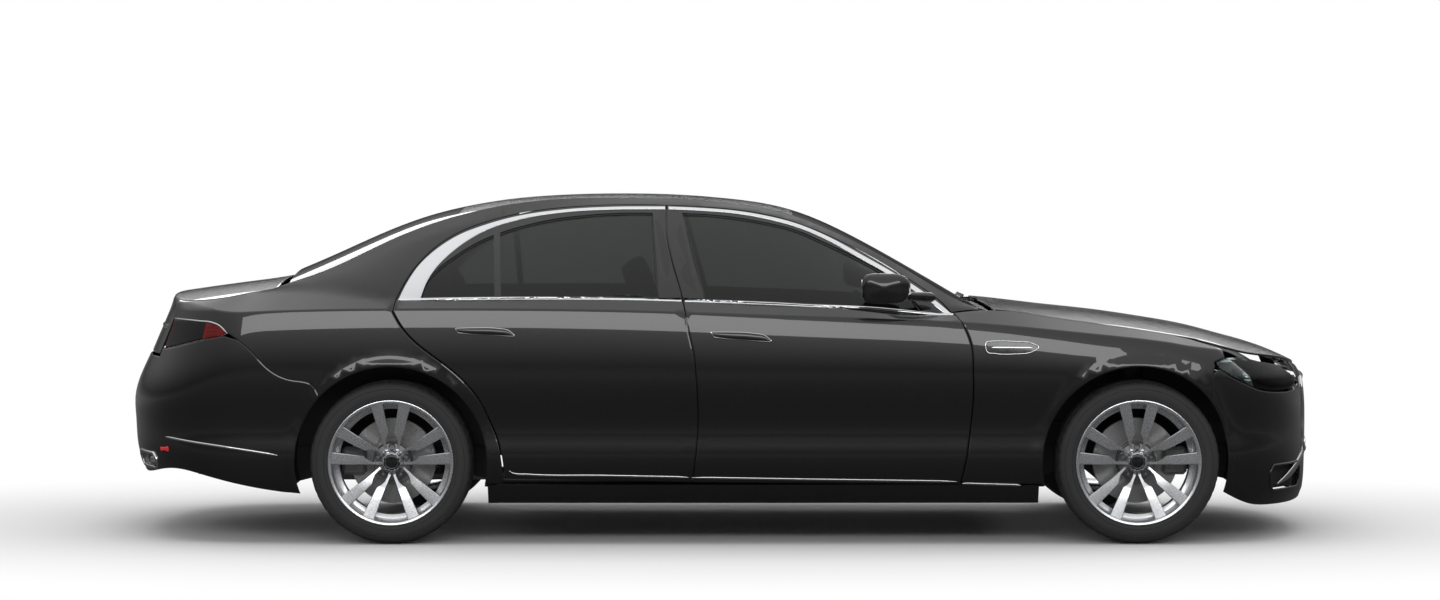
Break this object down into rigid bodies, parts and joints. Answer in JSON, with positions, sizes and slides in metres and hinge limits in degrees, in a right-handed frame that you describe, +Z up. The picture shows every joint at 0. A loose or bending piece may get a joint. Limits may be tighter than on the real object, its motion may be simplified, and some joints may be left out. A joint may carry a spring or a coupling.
{
  "type": "long-wheelbase four-door sedan",
  "caption": "Black long-wheelbase luxury sedan with opening doors, hood and boot lid, steered and rolling wheels and a furnished cabin.",
  "frame": {"origin": "centre of the bounding box's bottom face, on the ground", "axes": "+X forward, +Y to the car's left, +Z up"},
  "size_m": [5.2859, 2.27, 1.5025],
  "materials": {
    "black_paint": "gloss",
    "tinted_glass": "tinted",
    "chrome": "polished",
    "clear_lens": "clear",
    "red_lens": "clear red",
    "tyre_rubber": "matte",
    "silver_alloy": "satin",
    "bare_steel": "satin",
    "engine_iron": "rough",
    "dark_leather": "soft grain",
    "cabin_plastic": "matte",
    "underbody": "matte"
  },
  "bodies": {
    "car_body": {"bulkhead": "underbody", "dashboard": "cabin_plastic", "engine_block": "engine_iron", "exhaust": "bare_steel", "fender_left": "black_paint", "fender_right": "black_paint", "floor_pan": "underbody", "front_bumper": "black_paint", "front_rails": "underbody", "front_subframe": "bare_steel", "grille": "chrome", "headlamp_left": "clear_lens", "headlamp_right": "clear_lens", "quarter_panel_left": "black_paint", "quarter_panel_right": "black_paint", "rear_axle": "bare_steel", "rear_bumper": "black_paint", "rear_seat": "dark_leather", "rear_shelf": "cabin_plastic", "rear_window": "tinted_glass", "roof_panel": "black_paint", "seat_front_left": "dark_leather", "seat_front_right": "dark_leather", "side_frame_left": "black_paint", "side_frame_right": "black_paint", "steering_wheel": "cabin_plastic", "taillamp_left": "red_lens", "taillamp_right": "red_lens", "windscreen": "tinted_glass"},
    "door_front_left": {"door_front_left": "black_paint", "glass_front_left": "tinted_glass", "mirror_left": "black_paint"},
    "door_rear_left": {"door_rear_left": "black_paint", "glass_rear_left": "tinted_glass"},
    "knuckle_left": {"knuckle_left": "engine_iron"},
    "wheel_front_left": {"rim_front_left": "silver_alloy", "tyre_front_left": "tyre_rubber"},
    "wheel_rear_left": {"rim_rear_left": "silver_alloy", "tyre_rear_left": "tyre_rubber"},
    "door_front_right": {"door_front_right": "black_paint", "glass_front_right": "tinted_glass", "mirror_right": "black_paint"},
    "door_rear_right": {"door_rear_right": "black_paint", "glass_rear_right": "tinted_glass"},
    "knuckle_right": {"knuckle_right": "engine_iron"},
    "wheel_front_right": {"rim_front_right": "silver_alloy", "tyre_front_right": "tyre_rubber"},
    "wheel_rear_right": {"rim_rear_right": "silver_alloy", "tyre_rear_right": "tyre_rubber"},
    "hood": {"hood": "black_paint"},
    "trunk_lid": {"trunk_lid": "black_paint"}
  },
  "joints": [
    {"name": "door_front_left_hinge", "type": "hinge", "parent": "car_body", "child": "door_front_left", "pos_m": [1.04448, 0.94962, 0.75], "axis": [0, 0, -1], "range_deg": [0, 66]},
    {"name": "door_rear_left_hinge", "type": "hinge", "parent": "car_body", "child": "door_rear_left", "pos_m": [-0.13621, 0.95817, 0.75], "axis": [0, 0, -1], "range_deg": [0, 70]},
    {"name": "steering_left", "type": "hinge", "parent": "car_body", "child": "knuckle_left", "pos_m": [1.8005, 0.745, 0.352], "axis": [0, 0, 1], "range_deg": [-35, 35]},
    {"name": "wheel_front_left_spin", "type": "hinge", "parent": "knuckle_left", "child": "wheel_front_left", "pos_m": [1.8005, 0.826, 0.352], "axis": [0, 1, 0], "continuous": true},
    {"name": "wheel_rear_left_spin", "type": "hinge", "parent": "car_body", "child": "wheel_rear_left", "pos_m": [-1.4155, 0.832, 0.352], "axis": [0, 1, 0], "continuous": true},
    {"name": "door_front_right_hinge", "type": "hinge", "parent": "car_body", "child": "door_front_right", "pos_m": [1.04448, -0.94962, 0.75], "axis": [0, 0, 1], "range_deg": [0, 66]},
    {"name": "door_rear_right_hinge", "type": "hinge", "parent": "car_body", "child": "door_rear_right", "pos_m": [-0.13621, -0.95817, 0.75], "axis": [0, 0, 1], "range_deg": [0, 70]},
    {"name": "steering_right", "type": "hinge", "parent": "car_body", "child": "knuckle_right", "pos_m": [1.8005, -0.745, 0.352], "axis": [0, 0, 1], "range_deg": [-35, 35]},
    {"name": "wheel_front_right_spin", "type": "hinge", "parent": "knuckle_right", "child": "wheel_front_right", "pos_m": [1.8005, -0.826, 0.352], "axis": [0, 1, 0], "continuous": true},
    {"name": "wheel_rear_right_spin", "type": "hinge", "parent": "car_body", "child": "wheel_rear_right", "pos_m": [-1.4155, -0.832, 0.352], "axis": [0, 1, 0], "continuous": true},
    {"name": "hood_hinge", "type": "hinge", "parent": "car_body", "child": "hood", "pos_m": [1.1988, 0, 0.99711], "axis": [0, -1, 0], "range_deg": [0, 45]},
    {"name": "trunk_lid_hinge", "type": "hinge", "parent": "car_body", "child": "trunk_lid", "pos_m": [-1.94611, 0, 1.09], "axis": [0, 1, 0], "range_deg": [0, 70]}
  ],
  "couplings": [
    {"joint": "steering_right", "follows": "steering_left", "ratio": 1}
  ]
}
